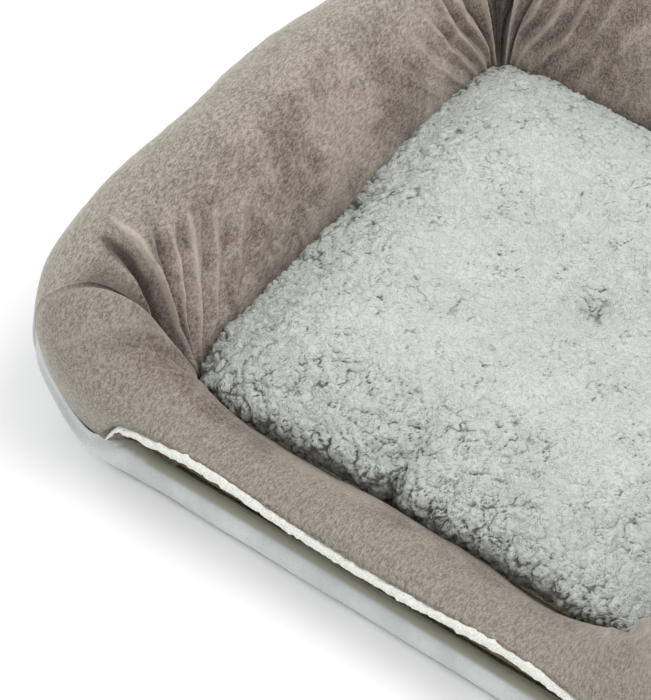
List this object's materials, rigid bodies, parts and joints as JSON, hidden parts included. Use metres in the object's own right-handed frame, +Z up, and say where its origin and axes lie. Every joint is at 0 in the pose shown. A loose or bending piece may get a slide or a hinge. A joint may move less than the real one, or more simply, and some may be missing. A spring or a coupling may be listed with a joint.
{
  "type": "pet cushion bed",
  "caption": "Square pet bed: stuffed velvet nest walls over a plush cave base with a front mouth slot, and a loose tufted fleece cushion.",
  "frame": {"origin": "on the floor under the middle of the bed's outer box", "axes": "+X to the right of someone facing the mouth, +Y towards the back wall, +Z up"},
  "size_m": [0.5282, 0.5076, 0.163],
  "materials": {
    "velvet": "matte",
    "plush": "matte",
    "fleece": "matte",
    "lining": "matte",
    "ticking": "matte",
    "foam": "matte",
    "fibre": "matte",
    "grip": "matte",
    "thread": "matte"
  },
  "bodies": {
    "bed": {"base_grip_sheet": "grip", "base_foam": "foam", "cave_floor_lining": "lining", "nest_floor_lining": "lining", "nest_floor_foam": "foam", "nest_floor_panel": "velvet", "wall_cover_left": "velvet", "wall_cover_back": "velvet", "wall_cover_right": "velvet", "front_wall_cover": "velvet", "outer_panel_left": "plush", "outer_panel_back": "plush", "outer_panel_right": "plush", "front_outer_panel": "plush", "wall_bolster_left": "fibre", "wall_bolster_back": "fibre", "wall_bolster_right": "fibre", "front_wall_bolster": "fibre", "mouth_roof_lining": "lining", "mouth_binding": "plush", "sill_foam": "foam"},
    "cushion": {"cushion_top": "fleece", "cushion_underside": "ticking", "cushion_fill": "fibre", "cushion_stitch": "thread"}
  },
  "joints": [
    {"name": "cushion_lift", "type": "slide", "parent": "bed", "child": "cushion", "axis": [0, 0, 1], "range_m": [0, 0.25]}
  ]
}
